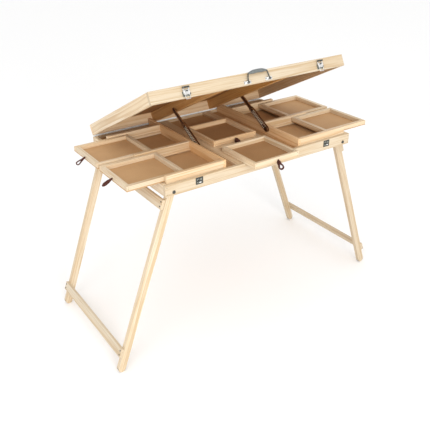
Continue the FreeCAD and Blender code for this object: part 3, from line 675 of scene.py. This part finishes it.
def stay_details():
    """The lower arms' ratchet strips, rims, punched dots and rivets, and the upper arms' beaded edges."""
    for side, sign in SIDES.items():
        foot = Vector(joints[side + "_stay_lower_turn"]["pos_m"])
        head = Vector(joints[side + "_stay_upper_turn"]["pos_m"])
        along = Vector((0, head.y - foot.y, head.z - foot.z)).normalized()
        across = Vector((0, -along.z, along.y))

        def at(x, reach, rise, start=foot):
            return Vector((sign * x * MM, start.y, start.z)) + along * reach * MM + across * rise * MM

        bm = bmesh.new()
        for x in (170.7, 173.8):
            outline = []
            for n in range(11):
                tooth = 22 + n * STAY_PITCH
                outline += [(tooth, 2.0), (tooth + 3.0, 6.0), (tooth + 5.3, 6.0)]
            outline += [(114, 2.0), (114, -6.5), (22, -6.5)]
            flat_bar(bm, [at(x, a, c).yz for a, c in outline], sign * x * MM, 0.25 * MM)
        bmesh.ops.recalc_face_normals(bm, faces=bm.faces)
        mesh = bpy.data.meshes.new(side + "_stay_ratchet")
        bm.to_mesh(mesh)
        bm.free()
        finish_piece(side + "_stay_ratchet", mesh, STRIP_STEEL_AND_GLINT, side + "_stay_lower", "plated_steel")

        rims = bmesh.new()
        for x in (168.7, 175.8):
            ends = ((0, 180), (112, 0))
            loop = []
            for reach, turn in ends:
                for degrees in range(-90, 91, 15):
                    angle = math.radians(turn + degrees)
                    loop.append(at(x, reach + 11.6 * math.cos(angle), 11.6 * math.sin(angle)))
            tube(rims, loop + loop[:2], [0.95 * MM] * (len(loop) + 2), 10)
        from_bmesh(rims, side + "_stay_rims", RUBBED_BRONZE_AND_GLINT, side + "_stay_lower", "bronzed_steel")

        dots, rivets = Fixings(), Fixings()
        for x, look in ((168.8, -1), (175.7, 1)):
            way = Vector((sign * look, 0, 0))
            for n in range(STAY_DOTS):
                dots.head(at(x, 12 + n * STAY_PITCH, 7.2), way, 2.3 * MM, 0.6 * MM, 0.0)
                dots.head(at(x, 16.3 + n * STAY_PITCH, -7.2), way, 2.3 * MM, 0.6 * MM, 0.0)
            rivets.head(at(x, 0, 0), way, 4.6 * MM, 1.2 * MM, 0.0)
            rivets.head(at(x, 14, 0), way, 3.4 * MM, 1.0 * MM, 0.0)
            rivets.head(at(x, 114, 0), way, 3.4 * MM, 1.0 * MM, 0.0)
        dots.piece(side + "_stay_dots", STRIP_STEEL_AND_GLINT, side + "_stay_lower", "plated_steel")
        rivets.piece(side + "_stay_rivets", BRONZE, side + "_stay_lower", "bronzed_steel")

        lips = bmesh.new()
        free = 118
        for rise in (-1, 1):
            section = [(-1.25, 6.5), (1.25, 6.5), (1.25, 10.4), (0.9, 10.9), (-0.9, 10.9), (-1.25, 10.4)]
            rings = []
            for reach in (-free, -free + 3, -4, 0, 3):
                fall = 0.6 if reach in (-free, 3) else 1.0
                inset = 1 - 0.03 * (reach > 0)
                rings.append([lips.verts.new(at(172.25 + x * fall, reach, rise * z * inset, head))
                              for x, z in section])
            loft(lips, rings)
        from_bmesh(lips, side + "_stay_edges", RUBBED_BRONZE_AND_GLINT, side + "_stay_upper", "bronzed_steel")


def tube(bm, path, radii, sides=20, squash=1.0):
    """A round bar along a path of points; its ends are closed by flat caps."""
    points = [Vector(p) for p in path]
    ways = []
    for n, point in enumerate(points):
        before, after = points[max(n - 1, 0)], points[min(n + 1, len(points) - 1)]
        ways.append((after - before).normalized())
    side = ways[0].orthogonal().normalized()
    rings = []
    for point, way, radius in zip(points, ways, radii):
        side = (side - way * side.dot(way)).normalized()
        other = way.cross(side)
        rings.append([bm.verts.new(point + (side * math.cos(math.tau * n / sides)
                                            + other * math.sin(math.tau * n / sides) * squash) * radius)
                      for n in range(sides)])
    loft(bm, rings)


def smooth_path(points, steps=8):
    """Catmull-Rom points through a list of points."""
    made = []
    padded = [points[0]] + list(points) + [points[-1]]
    for a, b, c, d in zip(padded, padded[1:], padded[2:], padded[3:]):
        for n in range(steps):
            t = n / steps
            made.append(0.5 * ((2 * b) + (c - a) * t + (2 * a - 5 * b + 4 * c - d) * t * t
                               + (3 * b - a - 3 * c + d) * t * t * t))
    return made + [points[-1]]


def handle():
    """A bowed grip, thick in the middle, on two round arms whose feet are rolled round the bracket pins."""
    pivot_up, off = 10 * MM, 7 * MM
    middle, foot, half = FITTINGS_X, HANDLE_FOOT_X, 43 * MM

    def place(x, up):
        lean = Vector((0, -math.sin(HANDLE_LEAN), math.cos(HANDLE_LEAN))) * up
        return closed_lid(middle + x, off - lean.y, pivot_up + lean.z)

    arms = bmesh.new()
    for side in (-1, 1):
        path = smooth_path([place(side * x * MM, up * MM) for x, up in
                            ((49.5, -1.5), (49, 8), (46.5, 20), (44.5, 27), (41, 31), (35, 32.5))])
        tube(arms, path, [2.4 * MM] * len(path))
        eye = [place(side * foot + x * MM, 0) for x in (-3.5, -3.0, 3.0, 3.5)]
        tube(arms, eye, [3.3 * MM, 3.8 * MM, 3.8 * MM, 3.3 * MM])
    grip = bmesh.new()
    count = 40
    path, radii = [], []
    for n in range(count + 1):
        t = 2 * n / count - 1
        path.append(place(t * (half - 1 * MM), HANDLE_REACH + (3.6 * (1 - t * t) - 1.4) * MM))
        radii.append((3.3 + 4.0 * min(1.0, 1.25 * (1 - t * t))) * MM)
    radii[0], radii[-1] = 2.4 * MM, 2.4 * MM
    tube(grip, path, radii, 24, 0.92)
    from_bmesh(arms, "handle_arms", DARK_STEEL_AND_SHADE, "handle", "grey_metal")
    from_bmesh(grip, "handle_grip", GREY, "handle", "grey_metal", "handle")


def latch_details():
    """The dark bar on top of each lever, which is painted shade on the plated lever's top, the dark ends of its
    pin and the loop's dark rollers.
    """
    for side, sign in SIDES.items():
        middle = FITTINGS_X + sign * LATCH_X
        # The dark bar is painted shade, not a part of the lever.
        bar = bmesh.new()
        ends = ((-14.2, 2.0), (-13.2, 3.1), (13.2, 3.1), (14.2, 2.0))
        tube(bar, [closed_lid(middle + x * MM, 8.6 * MM, 36.6 * MM) for x, _ in ends],
             [r * MM for _, r in ends], 16)
        from_bmesh(bar, side + "_lever_painted_shade_bar", DARK_STEEL_AND_SHADE, side + "_latch_lever", "dark_steel")
        pins = bmesh.new()
        for x in (-1, 1):
            ends = ((11.5, 2.0), (12.0, 3.0), (14.0, 3.0), (14.6, 2.0))
            tube(pins, [closed_lid(middle + x * a * MM, 4.2 * MM, 13 * MM) for a, _ in ends],
                 [r * MM for _, r in ends], 16)
        ends = ((-5.2, 1.4), (-4.8, 2.0), (4.8, 2.0), (5.2, 1.4))
        tube(pins, [closed_lid(middle + x * MM, 7.6 * MM, 24 * MM) for x, _ in ends],
             [r * MM for _, r in ends], 16)
        from_bmesh(pins, side + "_lever_pins", DARK_STEEL_AND_SHADE, side + "_latch_lever", "dark_steel")


def catch_details():
    """Each catch's plated inner plate, pressed into a slanting rib, inside its dark frame, and its white hook tip.
    The dark frame and the paler plate are painted reflection, and the white tip is a painted highlight.
    """
    low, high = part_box("catch_plates")
    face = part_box("case_front_rail")[0].y - 1.2 * MM
    bm = bmesh.new()
    for sign in (-1, 1):
        middle = Vector((FITTINGS_X + sign * LATCH_X, face, (low.z + high.z) / 2))
        for corners in (((-11, -9), (3, -9), (11, 1), (11, 9), (6, 9), (-11, -5)),
                        ((-11, 1), (-1, 9), (-11, 9)), ((7, -9), (11, -9), (11, -4))):
            outer = [bm.verts.new(middle + Vector((a * MM, 0, c * MM))) for a, c in corners]
            inner = [bm.verts.new(middle + Vector((a * 0.93 * MM, -0.5 * MM, c * 0.93 * MM)))
                     for a, c in corners]
            bm.faces.new(inner)
            bm.faces.new(list(reversed(outer)))
            for n in range(len(outer)):
                m = (n + 1) % len(outer)
                bm.faces.new((outer[n], outer[m], inner[m], inner[n]))
    from_bmesh(bm, "catch_inner_plates", PEWTER, "case", "plated_steel")
    # The hook tips' white is a painted highlight on each catch's hook lip.
    tips = bmesh.new()
    for sign in (-1, 1):
        middle = FITTINGS_X + sign * LATCH_X
        ends = ((-4.2, 0.9), (-3.6, 1.7), (3.6, 1.7), (4.2, 0.9))
        tube(tips, [Vector((middle + a * MM, face - 5.0 * MM, low.z + 9.5 * MM)) for a, _ in ends],
             [r * MM for _, r in ends], 12)
    from_bmesh(tips, "catch_hook_tips_painted_highlight", ZINC_WITH_PAINTED_GLINT, "case", "plated_steel")


def pull(tray):
    """A leather strap folded into a loop. Its neck goes into the tray's wall and its round end droops."""
    name = tray + "_tray_pull"
    low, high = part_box(name)
    wall_low, wall_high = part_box(tray + "_tray_frame")
    # how far each strap's two halves stand apart at the neck and at the end, its width, twist, stretch,
    # further droop and thickness
    neck, end, width, twist, stretch, droop, thickness = {
        "left_front": (0.22, 0.22, 13.0, -42, 7, 0, 1.1), "left_rear": (0.18, 0.80, 7.0, 28, 1, 0, 1.1),
        "right_front": (0.3, 0.8, 8.0, 0, 0, 0, 0.9), "right_rear": (0.18, 0.5, 8.0, 0, 0, 0, 0.9),
        "centre_front": (0.5, 1.1, 10.0, -50, -2, 20, 1.4), "centre_rear": (0.8, 1.2, 16.0, 0, 0, 0, 1.0),
    }[tray]
    row_y = (low.y + high.y) / 2
    if tray.startswith("left"):
        out, root, reach = Vector((-1, 0, 0)), Vector((wall_low.x, row_y, 0)), wall_low.x - low.x
    elif tray.startswith("right"):
        out, root, reach = Vector((1, 0, 0)), Vector((wall_high.x, row_y, 0)), high.x - wall_high.x
    else:
        out, root, reach = Vector((0, -1, 0)), Vector((0, wall_low.y, 0)), wall_low.y - low.y
    root.z = (wall_low.z + wall_high.z) / 2
    end_radius = (8.5 if reach > 30 * MM else 6.5) * MM
    centre = Vector((reach - end_radius + stretch * MM, 0, low.z + end_radius - root.z))
    centre.rotate(Quaternion((0, 1, 0), math.radians(droop)))
    length = centre.length
    along = centre.normalized()
    over = Vector((-along.z, 0, along.x))
    spread = (end_radius - 1.5 * MM) * end
    line = [along * share * length + over * rise * spread for share, rise in
            ((0.0, neck), (0.15, neck), (0.35, neck + 0.1), (0.60, 0.55), (0.84, 0.92), (1.0, 1.0))]
    tip = [along * (length + min(spread, end_radius) * math.sin(a)) + over * spread * math.cos(a)
           for a in (math.radians(d) for d in (30, 60, 90, 120, 150))]
    lower = [p - 2 * over * p.dot(over) for p in reversed(line)]
    path = smooth_path(line + tip + lower, 5)
    sideways = Vector((0, 0, 1)).cross(out)
    section = ((-0.95, -1.6), (-0.8, -2.0), (0.8, -2.0), (0.95, -1.6), (1.0, 0),
               (0.95, 1.6), (0.8, 2.0), (-0.8, 2.0), (-0.95, 1.6), (-1.0, 0))
    turned = Vector((along.x, 0, along.z))
    turned = out * turned.x + Vector((0, 0, turned.z))
    bm = bmesh.new()
    rings = []
    for n, point in enumerate(path):
        before, after = path[max(n - 1, 0)], path[min(n + 1, len(path) - 1)]
        way = (after - before).normalized()
        normal = Vector((-way.z, 0, way.x))
        far = min(1.0, max(0.0, point.dot(along) / length))
        tip_share = point.dot(along) / (length + spread)
        rounding = math.sqrt(max(0.10, 1 - max(0.0, (tip_share - 0.72) / 0.30) ** 2)) if end < 0.4 else 1.0
        half = width / 2 * min(1.0, 0.30 + 1.7 * far) * rounding
        turn = Quaternion(turned, math.radians(twist) * far)
        ring = []
        for across, thick in section:
            at = point + normal * thick * thickness * MM
            at = out * at.x + Vector((0, 0, at.z)) + sideways * across * half * MM
            ring.append(bm.verts.new(root + turn @ at))
        rings.append(ring)
    loft(bm, rings)
    from_bmesh(bm, name + "_strap", LEATHER, tray + "_tray", "leather", name)


# ---------------------------------------------------------------- light, floor, camera

def floor():
    """A wide pale floor, which belongs to the stage and not to the object."""
    bm = bmesh.new()
    bmesh.ops.create_grid(bm, x_segments=2, y_segments=2, size=30)
    mesh = bpy.data.meshes.new("floor")
    bm.to_mesh(mesh)
    bm.free()
    ground = bpy.data.objects.new("floor", mesh)
    bpy.context.scene.collection.objects.link(ground)
    material, tree, bsdf = shader("pale_floor")
    bsdf.inputs["Base Color"].default_value = (0.965, 0.965, 0.963, 1)
    bsdf.inputs["Roughness"].default_value = 0.8
    mesh.materials.append(material)


def soft_light(name, place, target, size, power):
    data = bpy.data.lights.new(name, "AREA")
    data.shape, data.size, data.energy = "DISK", size, power
    lamp = bpy.data.objects.new(name, data)
    lamp.location = place
    lamp.rotation_mode = "QUATERNION"
    lamp.rotation_quaternion = (Vector(target) - Vector(place)).to_track_quat("-Z", "Y")
    bpy.context.scene.collection.objects.link(lamp)


def studio():
    floor()
    world = bpy.data.worlds.new("studio")
    world.use_nodes = True
    world.node_tree.nodes["Background"].inputs["Color"].default_value = (1, 1, 1, 1)
    world.node_tree.nodes["Background"].inputs["Strength"].default_value = 1.0
    bpy.context.scene.world = world
    bpy.context.scene.view_settings.view_transform = "Standard"
    soft_light("key", (-2.6, -2.0, 3.2), (0, 0, 0.75), 1.8, 26)
    soft_light("front_fill", (-1.6, -7.0, 2.35), (0, 0.3, 0.78), 2.6, 210)


def camera():
    """The camera looks down at the handle side from its left, from above the lid."""
    azimuth, elevation, roll = math.radians(-34.26), math.radians(28.52), math.radians(-0.47)
    back = Vector((math.sin(azimuth) * math.cos(elevation), -math.cos(azimuth) * math.cos(elevation),
                   math.sin(elevation)))
    data = bpy.data.cameras.new("camera")
    data.lens, data.sensor_width = 48.85, 36
    cam = bpy.data.objects.new("camera", data)
    cam.location = (-1.3362, -1.8679, 1.6259)
    cam.rotation_mode = "QUATERNION"
    cam.rotation_quaternion = (-back).to_track_quat("-Z", "Y") @ Quaternion((0, 0, 1), roll)
    bpy.context.scene.collection.objects.link(cam)
    bpy.context.scene.camera = cam


case()
trays()
lid()
legs()
sheets()
plates()
fixings()
stay_details()
latch_details()
catch_details()
handle()
for tray in TRAYS:
    pull(tray)
studio()
camera()
